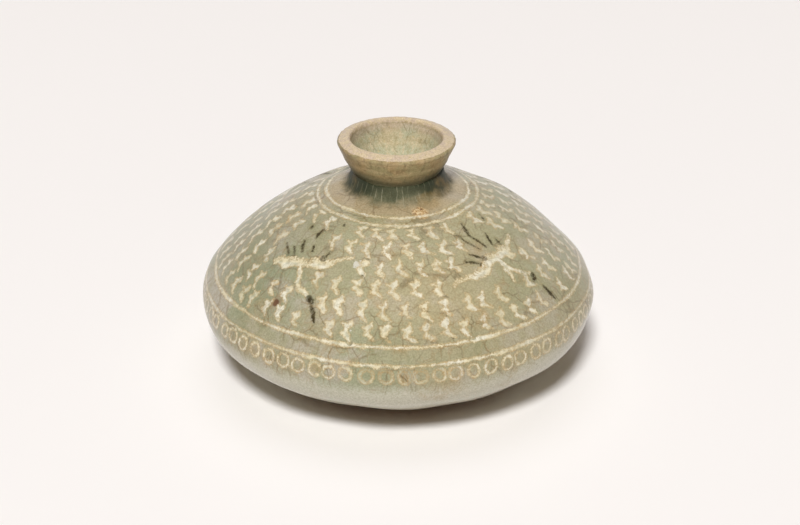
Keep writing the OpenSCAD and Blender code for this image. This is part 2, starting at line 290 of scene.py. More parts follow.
def lower_bowl(material):
    """The lower half of the body on its foot ring, closed by a floor."""
    foot_tilt = -math.acos((foot_r - underside_c[0]) / underside_round)
    foot_up = underside_from + underside_round * (foot_tilt - underside_tilt)
    ups = np.concatenate([np.arange(0, -1, -0.1), np.arange(-1, foot_up, -0.35), [foot_up]])
    outside = body_rings(ups)
    foot = [(foot_r - 0.05, 1.1), (foot_r - 0.05, 0.45), (foot_r - 0.2, 0.12), (foot_r - 0.55, 0),
            (foot_in + 0.6, 0), (foot_in + 0.2, 0.15), (foot_in, 0.5), (foot_in - 0.15, foot_hollow),
            (9, foot_hollow + 0.12), (1, foot_hollow + 0.1)]
    floor = [(1, floor_z), (12, floor_z + 0.06)] + list(inner_wall(-29, 0, 50))
    rings = np.concatenate([outside, turned_rings(foot + floor, columns_round)])
    under = (len(outside) + len(foot) - 1) * columns_round
    faces = [tuple(face[::-1]) for face in ring_faces(rings) if not under <= face[0] < under + columns_round]
    points = np.concatenate([rings.reshape(-1, 3), [(0, 0, foot_hollow + 0.1), (0, 0, floor_z)]])
    for column in range(columns_round):
        beside = (column + 1) % columns_round
        faces.append((under + beside, under + column, len(points) - 2))
        faces.append((under + columns_round + column, under + columns_round + beside, len(points) - 1))
    make_piece("lower_bowl", points, faces, material, "celadon")


# The cup's section, as radius and height above the lip's outer edge
lip_rise = 1.05
cup_aside = 0.3
lip_z = mouth_top - lip_rise
cup_foot = seat_z - lip_z - 0.3
cup_step = 0.22
cup_columns = 480
cup_outside = [
    (9.2, cup_foot), (9.2, -9.4), (9.28, -8.6), (9.45, -7.9), (9.8, -7.1), (10.4, -6.1), (11.15, -4.9),
    (11.9, -3.4), (12.6, -1.9), (13.1, -0.8), (13.32, -0.33), (13.3, -0.02)]
cup_lip = [(13.05, 0.26), (12.5, 0.52), (11.8, 0.78), (11.2, 0.94), (10.8, 0.95), (10.5, 0.74),
           (10.3, 0.3)]
cup_inside = [(10.12, -0.4), (9.75, -1.6), (9.2, -3.1), (8.2, -4.9), (6.9, -6.4), (5.6, -7.5), (5.06, -8.1),
              (5.0, -9.0), (5.0, cup_foot)]


def mouth_cup(material):
    """The cup, a little off the middle, with turning lines and a worn lip."""
    section = smooth_line(cup_outside + cup_lip + cup_inside, cup_step)
    rings = turned_rings(section + [0, lip_z], cup_columns)
    turn = np.arange(cup_columns) * 2 * math.pi / cup_columns
    height = section[:, 1:]
    near_lip = np.exp(-(height / 0.9) ** 2)
    uneven = 0.05 * np.sin(2 * turn + 1) + 0.03 * np.sin(5 * turn + height)
    uneven = uneven + 0.02 * np.sin(11 * turn - 1.3 * height)
    chips = np.sin(23 * turn + 1) * np.sin(9 * turn) + np.sin(41 * turn + 2) * np.sin(5 * turn + 2)
    worn = near_lip * 0.035 * chips
    ridges = 0.035 * np.sin(height * 2.9 + 0.4 * np.sin(turn)) * (height < -0.8)
    swell = 1 + (uneven + worn + ridges) / np.maximum(section[:, :1], 1)
    rings[..., 0] *= swell
    rings[..., 1] *= swell
    rings[..., 0] -= cup_aside
    rings[..., 2] += worn * 0.6
    place = np.arange(len(section))
    outside_end = len(smooth_line(cup_outside, cup_step))
    lip_end = len(smooth_line(cup_outside + cup_lip, cup_step))
    lip = np.clip((place - outside_end) / 3, 0, 1)
    inside = np.clip((place - lip_end + 3) / 6, 0, 1)
    marks = {"lip": np.repeat(lip - inside, cup_columns), "inside": np.repeat(inside, cup_columns)}
    make_piece("mouth_cup", rings, ring_faces(rings), material, "worn_celadon", marks)


# The pool of glaze: its height at the sides and what it lacks in front, and how it is tucked into the cup
pool_tall = 3.5
pool_front_drop = 1.05
pool_tuck = np.array([0.85, 0.85, 1])
pool_rise = np.array([0, 0, 0.9])
pool_edge = 0.008


def neck_glaze_pool(material):
    """Thick glaze in the angle at the neck, which thins to an edge on the shoulder."""
    turn = np.radians(angles_round)
    reach = 3.4 + 0.3 * np.sin(np.radians(3 * angles_round + 40)) + 0.2 * np.sin(np.radians(7 * angles_round))
    tall = pool_tall - pool_front_drop * np.clip(np.cos(turn), 0, 1)
    rows = [on_clay(angles_round, neck_up, tall) * pool_tuck + pool_rise]
    for share in np.linspace(0, 1, 16):
        out = tall * (1 - share) ** 2.2 + pool_edge
        rows.append(on_clay(angles_round, neck_up - share * reach, out))
    for share in (1.0, 0.5, 0.0):
        rows.append(on_clay(angles_round, neck_up - share * reach, -slip_sink))
    rings = np.array(rows)
    make_piece("neck_glaze_pool", rings, ring_faces(rings)[:, ::-1], material, "pooled_glaze")


# Slip patches. A drawing gives how far inside it a place lies, and its patch ends at the skirt

def from_line(x, y, a, b):
    """How far places lie from the line between two points, and the share of the line passed there."""
    along = b[:2] - a[:2]
    share = np.clip(((x - a[0]) * along[0] + (y - a[1]) * along[1]) / (along @ along), 0, 1)
    return np.hypot(x - a[0] - share * along[0], y - a[1] - share * along[1]), share


def polygon_distance(outline):
    """How far inside a closed outline a place lies. It is negative outside."""
    outline = np.asarray(outline, float)

    def distance(x, y):
        nearest = np.full(x.shape, 1e9)
        inside = np.zeros(x.shape, bool)
        for a, b in zip(outline, np.roll(outline, -1, 0)):
            nearest = np.minimum(nearest, from_line(x, y, a, b)[0])
            crosses = (a[1] > y) != (b[1] > y)
            if a[1] != b[1]:
                inside ^= crosses & (x < a[0] + (y - a[1]) * (b[0] - a[0]) / (b[1] - a[1]))
        return np.where(inside, nearest, -nearest)
    return distance


def stroke_distance(points):
    """How far inside a brush stroke a place lies. Points are x, y and the stroke's width there."""
    points = np.asarray(points, float)

    def distance(x, y):
        best = np.full(x.shape, -1e9)
        for a, b in zip(points[:-1], points[1:]):
            gap, share = from_line(x, y, a, b)
            best = np.maximum(best, (a[2] + share * (b[2] - a[2])) / 2 - gap)
        return best
    return distance


def together(distances):
    """One drawing from several."""
    return lambda x, y: np.max([distance(x, y) for distance in distances], 0)


def covered(distance, low, high, step):
    """Flat points and triangles that cover a drawing and its skirt, cut along the skirt's edge."""
    columns = max(2, math.ceil((high[0] - low[0]) / step)) + 1
    rows = max(2, math.ceil((high[1] - low[1]) / step)) + 1
    x, y = np.meshgrid(np.linspace(low[0], high[0], columns), np.linspace(low[1], high[1], rows))
    depth = (distance(x, y) + slip_skirt).ravel()
    flat = np.stack([x.ravel(), y.ravel()], 1)
    points = []
    known = {}

    def corner(i):
        if i not in known:
            known[i] = len(points)
            points.append(flat[i])
        return known[i]

    def crossing(i, j):
        pair = (min(i, j), max(i, j))
        if pair not in known:
            share = min(max(depth[pair[0]] / (depth[pair[0]] - depth[pair[1]]), 0.03), 0.97)
            known[pair] = len(points)
            points.append(flat[pair[0]] + share * (flat[pair[1]] - flat[pair[0]]))
        return known[pair]

    triangles = []
    for row in range(rows - 1):
        for column in range(columns - 1):
            a = row * columns + column
            for three in ((a, a + 1, a + columns + 1), (a, a + columns + 1, a + columns)):
                ring = []
                for i, j in zip(three, three[1:] + three[:1]):
                    if depth[i] > 0:
                        ring.append(corner(i))
                    if (depth[i] > 0) != (depth[j] > 0):
                        ring.append(crossing(i, j))
                triangles += [(ring[0], ring[k], ring[k + 1]) for k in range(1, len(ring) - 1)]
    return np.array(points), np.array(triangles)


class Slip:
    """Gathers patches of slip for one piece."""

    def __init__(self):
        self.points, self.faces, self.depths, self.kept = [], [], [], []
        self.count = 0

    def add(self, at, up, depth, triangles, kept):
        """A patch as a thin closed solid: a face on the clay, a back sunk in it and a rim."""
        size = len(at)
        top = self.count
        back = top + size
        edges = {}
        for a, b, c in triangles:
            for i, j in ((a, b), (b, c), (c, a)):
                if not edges.pop((j, i), False):
                    edges[(i, j)] = True
        self.points += [on_clay(at, up, slip_lift), on_clay(at, up, -slip_sink)]
        self.faces += [(top + a, top + b, top + c) for a, b, c in triangles]
        self.faces += [(back + a, back + c, back + b) for a, b, c in triangles]
        self.faces += [(top + j, top + i, back + i, back + j) for i, j in edges]
        self.depths += [depth, depth]
        self.kept += [kept, kept]
        self.count += 2 * size

    def make(self, name, material, slot):
        marks = {"slip": np.concatenate(self.depths), "kept": np.concatenate(self.kept)}
        make_piece(name, np.concatenate(self.points), self.faces, material, slot, marks)


def stamp(slip, distance, low, high, at, up, kept, step=slip_step):
    """Presses a flat drawing into the clay at a place. Kept is the part of the slip left, by x and y."""
    points, triangles = covered(distance, np.asarray(low) - slip_skirt, np.asarray(high) + slip_skirt, step)
    x, y = points.T
    spread = np.degrees(x / profile(up)[0])
    slip.add(at + spread, up + y, distance(x, y), triangles, kept(x, y))


def inlaid_line(name, up, lost, material):
    """A line drawn round the body on the turning wheel, with a hand's waver."""
    turn = np.radians(angles_round)
    drift = [chance.uniform(0, full_turn) for _ in range(5)]
    waver = 0.1 * np.sin(2 * turn + drift[0]) + 0.08 * np.sin(5 * turn + drift[1])
    waver = waver + 0.05 * np.sin(13 * turn + drift[2])
    width = line_w * (1 + 0.35 * np.sin(7 * turn + drift[3]) + 0.3 * np.sin(17 * turn + drift[4]))
    rows, depths = [], []
    for across in np.linspace(-line_half, line_half, 17):
        rows.append(on_clay(angles_round, up + waver + across, slip_lift))
        depths.append(width / 2 - abs(across))
    for across in (line_half, -line_half):
        rows.append(on_clay(angles_round, up + waver + across, -slip_sink))
        depths.append(np.full(columns_round, -line_half))
    rings = np.array(rows)
    kept = np.tile(1 - lost * (0.5 + 0.5 * np.sin(3 * turn + drift[1])), len(rows))
    marks = {"slip": np.concatenate(depths), "kept": kept}
    make_piece(name, rings, ring_faces(rings), material, "white_slip", marks)


def circle_row(material):
    """Stamped circles. Some at the front are partly lost under the glaze."""
    slip = Slip()
    for i in range(circle_count):
        at = circle_first + i * 360 / circle_count + chance.normal(0, 0.35)
        tall = circle_d / 2 * chance.uniform(0.95, 1.08)
        wide = circle_d / 2 * chance.uniform(0.86, 0.98)
        thick = circle_w * chance.uniform(0.8, 1.25)
        lean = chance.uniform(0, full_turn)

        def distance(x, y):
            turn = np.arctan2(y, x)
            edge = np.hypot(x / wide, y / tall) * (wide + tall) / 2 - (wide + tall) / 2 + thick / 2
            uneven = np.abs(edge + 0.07 * np.sin(2 * turn + lean))
            return thick * (1 + 0.3 * np.cos(turn - lean)) / 2 - uneven

        front = (at + 180) % 360 - 180
        loss = math.exp(-((front - 1) / 15) ** 2)
        gone = chance.uniform(0.6, 2.6)
        fresh = chance.uniform(0.85, 1.0)

        def kept(x, y):
            part = 0.5 + 0.5 * np.cos(np.arctan2(y, x) - gone)
            return fresh * (1 - loss * (0.35 + 0.65 * part))

        reach = np.array([wide, tall]) + 0.2
        up = circle_up + chance.normal(0, 0.12)
        stamp(slip, distance, -reach, reach, at, up, kept, circle_step)
    slip.make("circle_row", material, "white_slip")


cloud_outline = np.array([
    (0.6, 2.0), (1.05, 1.15), (0.6, 0.5), (0.25, 0.0), (0.4, -0.6), (0.95, -1.15), (1.4, -2.0),
    (0.7, -1.8), (0.05, -1.2), (-0.9, -0.75), (-0.5, -0.25), (-0.3, 0.3), (-1.15, 0.9), (-0.2, 1.15)])


# Cranes fly head down. Wings are outlines, the rest are strokes of x, y and width

left_wings = [
    (-10.8, -0.9), (-9.6, -0.5), (-8, -0.1), (-6.5, 0.3), (-5, 0.5), (-3, 0.6), (-1, 0.8), (0, 1.8),
    (1.5, 2.2), (2.5, 1.8), (4, 2.6), (5.5, 3.8), (7, 5.2), (8.5, 6.3), (7.2, 4.7), (5.6, 2.8), (5, 1.2),
    (3.8, -0.1), (2, -0.4), (0, -0.6), (-2, -1.1), (-4, -1.6), (-5.2, -2.4), (-6.5, -2.9), (-8, -2.3),
    (-9.5, -1.9)]
left_neck = [(-2.4, -0.8, 0.7), (-1.2, -3, 0.8), (-0.9, -4.6, 1.0), (0.2, -5.6, 0.9), (2.2, -6, 0.8),
             (3.9, -6.9, 0.6)]
left_black = [
    [(3.9, -6.8, 0.7), (4.5, -7.1, 1.2), (5.0, -7.6, 0.6)],
    [(5.3, -8.3, 0.5), (6.3, -9.4, 1.0), (7.5, -11.1, 0.5)],
    [(-9.6, 3.7, 0.3), (-8.6, 2.5, 0.55), (-7.4, 1.4, 0.35)], [(-7.2, 3.5, 0.25), (-5.9, 1.7, 0.45)],
    [(-5.5, 5.4, 0.35), (-5.2, 4.3, 0.65), (-4.2, 2.7, 0.35)], [(-3.1, 9.8, 0.4), (-3.5, 8.2, 0.9)],
    [(-3.5, 8.2, 0.9), (-3.3, 7.0, 0.3)], [(-2.5, 5.1, 0.3), (-1.9, 3.6, 0.5)],
    [(2.3, 4.3, 0.4), (1.9, 2.7, 0.5)], [(-6.5, 9.5, 0.4), (-6.4, 9.2, 0.5)],
    [(0.8, 12.3, 0.35), (0.9, 12.0, 0.4)]]
right_wings = [
    (-12.9, -0.6), (-11.5, -0.1), (-9, -0.2), (-7, -0.5), (-5.5, 0.1), (-4.6, 0.4), (-3, 0.2), (-2.2, 1.2),
    (-1.5, 1.8), (0, 1.8), (2, 1.9), (3, 2.5), (4.8, 2.8), (5.6, 2.4), (6.8, 3.4), (8.3, 4.4), (9.8, 5.3),
    (9, 4.2), (7.8, 3), (7, 2), (6.2, 1), (7.5, 0.2), (6.9, -0.6), (5.8, -1.1), (4.6, -0.8), (3.8, 0),
    (2.6, -0.2), (0.8, -0.3), (-1.2, -0.6), (-2.2, -1.6), (-3.5, -2.4), (-5.5, -2.2), (-7, -1.9), (-9, -1),
    (-11, -0.8)]
right_neck = [(1.4, 0.2, 1.1), (1.9, -1.8, 0.9), (3.2, -3.2, 0.6), (5, -4.4, 0.5), (7.3, -5.6, 0.5)]
right_branch = [(1.3, -2.4, 0.8), (1.8, -4, 0.7), (1.4, -5.6, 0.4)]
right_black = [
    [(7.7, -5.9, 0.5), (7.4, -6.6, 1.2), (6.6, -7.2, 0.5)],
    [(8.8, -9.1, 0.5), (9.4, -10.5, 0.9), (10.3, -12.4, 0.4)],
    [(-6.4, 2.9, 0.45), (-5.2, 2.2, 0.65), (-4, 1.4, 0.45)],
    [(-4.3, 4.2, 0.4), (-2.9, 2.9, 0.65), (-1.8, 2, 0.4)],
    [(-3.4, 9.7, 0.4), (-2.7, 7.4, 0.32), (-1.1, 4.4, 0.42)],
    [(-0.1, 11.9, 0.35), (-0.5, 10, 0.75), (-0.7, 8.5, 0.55)],
    [(-0.7, 8.5, 0.5), (0.4, 5.9, 0.4), (0.9, 4.4, 0.55)],
    [(3.4, 7.4, 0.35), (3.1, 5.7, 0.62), (2.9, 4.3, 0.38)], [(4.9, 5.1, 0.4), (5.1, 4.2, 0.5)],
    [(6, 12.1, 0.35), (5.8, 10.6, 0.5)]]
crane_low = np.array([-14.0, -14.0])
crane_high = np.array([12.0, 14.0])
wing_inset = 0.5
feather_step = 0.42

# Room that a cloud keeps from a crane's bold strokes and from its fine feathers
bold_clear = 1.15
fine_clear = 0.75
cloud_clear = 0.25
crane_up = 23.3
cranes = {"crane_front_left": (-37.9, left_wings, [left_neck], left_black),
          "crane_front_right": (43.8, right_wings, [right_neck, right_branch], right_black),
          "crane_back_right": (134.0, left_wings, [left_neck], left_black),
          "crane_back_left": (-128.0, right_wings, [right_neck, right_branch], right_black)}


def drawing_frame(at):
    """Middle of a crane's flat drawing, and its ways to the right, up the slope and out of the clay."""
    radius, height, tilt = profile(crane_up)
    turn = math.radians(at)
    out_flat = np.array([math.sin(turn), -math.cos(turn), 0])
    right = np.array([math.cos(turn), math.sin(turn), 0])
    out = out_flat * math.cos(tilt) + np.array([0, 0, math.sin(tilt)])
    slope = np.array([0, 0, math.cos(tilt)]) - out_flat * math.sin(tilt)
    return radius * out_flat + np.array([0, 0, height]), right, slope, out


def carved(at, flat):
    """Angles and distances up where a flat drawing, carved straight in, meets the clay."""
    middle, right, slope, out = drawing_frame(at)
    points = middle + flat[:, :1] * right + flat[:, 1:] * slope
    for _ in range(6):
        radius = np.hypot(points[:, 0], points[:, 1])
        over = np.stack([radius - shoulder_c[0], points[:, 2] - shoulder_c[1]], 1)
        away = np.linalg.norm(over, axis=1)
        points = points - (away - shoulder_round)[:, None] * out
    radius = np.hypot(points[:, 0], points[:, 1])
    tilt = np.arctan2(points[:, 2] - shoulder_c[1], radius - shoulder_c[0])
    return (np.degrees(np.arctan2(points[:, 0], -points[:, 1])),
            shoulder_from + shoulder_round * (tilt - shoulder_tilt))


def wing_fringe(wings):
    """Short brushed feathers along the wings' upper edge, which runs from the left tip to the right one."""
    tip = int(np.argmax([x for x, y in wings]))
    inside = polygon_distance(wings)
    upper = smooth_line(wings[:tip + 1], feather_step)
    feathers = []
    for x, y in upper[2:-2]:
        lean = chance.normal(0.15, 0.25)
        rise = chance.uniform(-0.15, 0.75)
        thick = float(inside(np.array([x]), np.array([y - 0.9]))[0])
        body = min(1.0, max(0.4, 1.6 * thick))
        root = (x - lean * body, y - 1.2 * body, 0.4 * body)
        feathers.append([root, (x, y - 0.3 * body, 0.3 * body), (x + lean * body, y + rise * body, 0.05)])
    return [stroke_distance(points) for points in feathers]


def crane(name, at, wings, whites, blacks, white, black):
    """A crane: feathered white wings and a white neck, black head, beak and feathers."""
    wing = polygon_distance(wings)
    brushed = [stroke_distance(points) for points in whites] + wing_fringe(wings)
    white_drawing = together([lambda x, y: wing(x, y) - wing_inset] + brushed)
    black_drawing = together([stroke_distance(points) for points in blacks])
    for part, drawing, material, slot in (("white", white_drawing, white, "white_slip"),
                                          ("black", black_drawing, black, "black_slip")):
        flat, triangles = covered(drawing, crane_low, crane_high, slip_step)
        slip = Slip()
        slip.add(*carved(at, flat), drawing(*flat.T), triangles, np.ones(len(flat)))
        slip.make(f"{name}_{part}", material, slot)


def crane_room(at, up):
    """How far a place lies outside the room that the nearest crane needs."""
    place = on_clay(np.array([at]), np.array([up]))[0]
    room = 99.0
    for crane_at, wings, whites, blacks in cranes.values():
        middle, right, slope, out = drawing_frame(crane_at)
        across = np.array([(place - middle) @ right])
        above = np.array([(place - middle) @ slope])
        if math.cos(math.radians(at - crane_at)) < 0.5:
            continue
        strokes = [stroke_distance(points) for points in whites + blacks[:2]]
        bold = together([polygon_distance(wings)] + strokes)
        fine = together([stroke_distance(points) for points in blacks[2:]])
        for drawing, clear in ((bold, bold_clear), (fine, fine_clear)):
            room = min(room, -float(drawing(across, above)[0]) - clear)
    return room


def cloud_row(row, material):
    """A row of stamped cloud marks, each a little different. Marks in a crane's way are left out."""
    slip = Slip()
    count = cloud_counts[row]
    for i in range(count):
        at = cloud_firsts[row] + i * 360 / count + chance.normal(0, 0.6)
        up = cloud_ups[row] + chance.normal(0, 0.16)
        grown = chance.uniform(0.86, 1.06) * np.array([1.0, 1.1])
        lean = chance.normal(0, 0.12)
        bent = cloud_outline + chance.normal(0, 0.17, cloud_outline.shape)
        fresh = chance.uniform(0.7, 1.0)
        turned = np.array([[math.cos(lean), -math.sin(lean)], [math.sin(lean), math.cos(lean)]])
        outline = smooth_line(np.concatenate([bent, bent[:1]]) @ turned.T * grown, 0.4)[:-1]
        if crane_room(at, up) > cloud_clear:
            stamp(slip, polygon_distance(outline), outline.min(0), outline.max(0), at, up,
                  lambda x, y: fresh + 0 * x)
    slip.make(f"cloud_row_{row + 1}", material, "white_slip")


# Shader webs

class Web:
    """Short ways to add shader nodes to a tree and join them."""

    def __init__(self, tree):
        self.tree = tree

    def join(self, value, socket):
        if isinstance(value, bpy.types.NodeSocket):
            self.tree.links.new(value, socket)
        else:
            socket.default_value = value

    def feed(self, node, given):
        """Joins the values or links given to a node's inputs."""
        for socket, value in given.items():
            self.join(value, node.inputs[socket])

    def node(self, kind, given=None, **settings):
        """A node with its settings and its inputs."""
        made = self.tree.nodes.new("ShaderNode" + kind)
        for name, value in settings.items():
            setattr(made, name, value)
        self.feed(made, given or {})
        return made

    def calc(self, operation, a, b=0.0):
        return self.node("Math", {0: a, 1: b}, operation=operation).outputs[0]

    def times(self, a, b):
        return self.calc("MULTIPLY", a, b)

    def plus(self, a, b):
        return self.calc("ADD", a, b)

    def minus(self, a, b):
        return self.calc("SUBTRACT", a, b)

    def most(self, a, b):
        return self.calc("MAXIMUM", a, b)

    def rest(self, share):
        """What a share leaves of the whole."""
        return self.calc("SUBTRACT", 1.0, share)

    def step(self, value, low, high):
        """Goes softly from 0 to 1 as a value goes from low to high."""
        given = {"Value": value, "From Min": low, "From Max": high}
        return self.node("MapRange", given, interpolation_type="SMOOTHSTEP").outputs[0]

    def span(self, value, low, high):
        """Goes from low to high as a value goes from 0 to 1."""
        return self.node("MapRange", {"Value": value, "To Min": low, "To Max": high}).outputs[0]

    def blend(self, share, a, b, way="MIX"):
        return self.node("Mix", {0: share, 6: a, 7: b}, data_type="RGBA", blend_type=way).outputs[2]

    def vector(self, operation, a, b):
        second = "Scale" if operation == "SCALE" else 1
        return self.node("VectorMath", {0: a, second: b}, operation=operation).outputs[0]

    def place(self):
        """Place in the object, in millimetres."""
        return self.vector("SCALE", self.node("TexCoord").outputs["Object"], 1 / MM)

    def ways(self, place):
        """How far a place lies to the right, to the back and up."""
        return self.node("SeparateXYZ", {0: place}).outputs

    def noise(self, place, size, detail=2.0, rough=0.55):
        given = {"Vector": place, "Scale": 1 / size, "Detail": detail, "Roughness": rough}
        return self.node("TexNoise", given).outputs[0]

    def shaken(self, place, size, reach):
        """Place moved about by noise."""
        noise = self.node("TexNoise", {"Vector": place, "Scale": 1 / size}).outputs["Color"]
        centred = self.vector("SUBTRACT", noise, (0.5, 0.5, 0.5))
        return self.vector("ADD", place, self.vector("SCALE", centred, reach))

    def group(self, tree, **inputs):
        return self.node("Group", inputs, node_tree=tree).outputs

    def mark(self, name):
        return self.node("Attribute", attribute_name=name).outputs["Fac"]


class Paint:
    """A colour, with tones laid over it one after the other."""

    def __init__(self, web, colour):
        self.web = web
        self.colour = colour

    def blend(self, share, tone, way="MIX"):
        self.colour = self.web.blend(share, self.colour, tone, way)

    def tint(self, share, tone):
        self.blend(share, tone, "MULTIPLY")

    def laid(self, tone, mask, share):
        self.blend(self.web.times(mask, share), tone)

    def patches(self, tone, value, low, high, share):
        """A tone where a value passes from low to high."""
        self.laid(tone, self.web.step(value, low, high), share)


def make_group(name, inputs, recipe, groups=()):
    """A node group with named inputs. Its recipe gives the outputs."""
    tree = bpy.data.node_groups.new(name, "ShaderNodeTree")
    web = Web(tree)
    for socket in inputs:
        tree.interface.new_socket(socket, in_out="INPUT", socket_type="NodeSocketFloat")
    outputs = recipe(web, tree.nodes.new("NodeGroupInput").outputs, *groups)
    for socket in outputs:
        kind = "NodeSocketColor" if socket == "Color" else "NodeSocketFloat"
        tree.interface.new_socket(socket, in_out="OUTPUT", socket_type=kind)
    web.feed(tree.nodes.new("NodeGroupOutput"), outputs)
    return tree


def crackle_web(web, given):
    """Fine cracks in the glaze, longer up and down than across. Size is the width of a plate between them."""
    tall = web.vector("MULTIPLY", web.shaken(web.place(), 3.0, 2.0), (1, 1, 0.4))
    plates = {"Vector": tall, "Scale": web.calc("DIVIDE", 1.0, given["Size"])}
    cells = web.node("TexVoronoi", plates, feature="DISTANCE_TO_EDGE")
    gap = web.times(cells.outputs["Distance"], given["Size"])
    line = web.rest(web.step(gap, 0.0, given["Width"]))
    fading = web.step(web.noise(web.place(), 6.0, 2.0), 0.38, 0.56)
    return {"Crack": web.times(line, fading)}


def ray_web(web, given):
    """Fine cracks that run out from the neck like rays."""
    x, y, z = web.ways(web.shaken(web.place(), 4.0, 1.6))
    spread = {"W": web.times(web.calc("ARCTAN2", x, y), 7.5), "Scale": 1.0}
    rays = web.node("TexVoronoi", spread, feature="DISTANCE_TO_EDGE", voronoi_dimensions="1D")
    line = web.rest(web.step(rays.outputs["Distance"], 0.0, 0.1))
    fading = web.step(web.noise(web.place(), 2.6, 3.0), 0.4, 0.6)
    return {"Crack": web.times(line, fading)}


def specks_web(web, given):
    """Small round specks. Size is the spacing, Share the part of the specks that show."""
    spacing = {"Vector": web.shaken(web.place(), 0.6, 0.3), "Scale": web.calc("DIVIDE", 1.0, given["Size"])}
    cells = web.node("TexVoronoi", spacing)
    split = web.node("SeparateColor", {0: cells.outputs["Color"]})
    chosen = web.calc("LESS_THAN", split.outputs[0], given["Share"])
    gap = web.times(cells.outputs["Distance"], given["Size"])
    size = web.times(given["Radius"], web.span(split.outputs[1], 0.5, 1.2))
    spot = web.rest(web.step(gap, web.times(size, 0.5), size))
    return {"Speck": web.times(spot, chosen)}


# Colours of the finishes
grey_green = (0.33, 0.352, 0.235, 1)
deep_green = (0.24, 0.25, 0.135, 1)
grey_mauve = (0.4, 0.355, 0.235, 1)
blue_grey = (0.49, 0.445, 0.39, 1)
neck_mauve = (0.51, 0.405, 0.265, 1)
pale_grey = (0.62, 0.6, 0.52, 1)
pool_teal = (0.026, 0.033, 0.017, 1)
pool_green = (0.07, 0.09, 0.052, 1)
pool_dark_and_shade = (0.035, 0.04, 0.016, 1)
pool_lit_front = (0.13, 0.13, 0.08, 1)
ochre = (0.42, 0.27, 0.1, 1)
crack_brown = (0.2, 0.15, 0.075, 1)
crack_ochre = (0.34, 0.23, 0.1, 1)
rust = (0.45, 0.26, 0.1, 1)
pit_brown = (0.14, 0.075, 0.04, 1)
bare_clay = (0.27, 0.165, 0.085, 1)
speck_brown = (0.09, 0.075, 0.04, 1)
speck_tan = (0.62, 0.47, 0.22, 1)
grit_cream = (0.72, 0.57, 0.34, 1)
fleck_white = (0.72, 0.7, 0.64, 1)
ray_pale = (0.42, 0.4, 0.3, 1)
glaze_tint = (0.975, 0.97, 0.935, 1)
warm_olive = (0.41, 0.36, 0.195, 1)
painted_light_beige = (0.56, 0.475, 0.295, 1)
grain_shade = (0.71, 0.7, 0.63, 1)
runs_and_shade_tint = (0.6, 0.58, 0.56, 1)
cup_grain = (0.76, 0.74, 0.67, 1)
cream = (0.8, 0.715, 0.485, 1)
cream_white = (0.88, 0.85, 0.71, 1)
slip_black = (0.028, 0.019, 0.002, 1)
slip_brown = (0.072, 0.052, 0.02, 1)
cup_brown = (0.42, 0.31, 0.16, 1)
cup_olive = (0.38, 0.325, 0.175, 1)
cup_beige = (0.58, 0.44, 0.26, 1)
lip_beige = (0.69, 0.565, 0.38, 1)
lip_pink = (0.62, 0.5, 0.39, 1)
inside_green = (0.46, 0.48, 0.34, 1)
inside_tan = (0.64, 0.51, 0.32, 1)


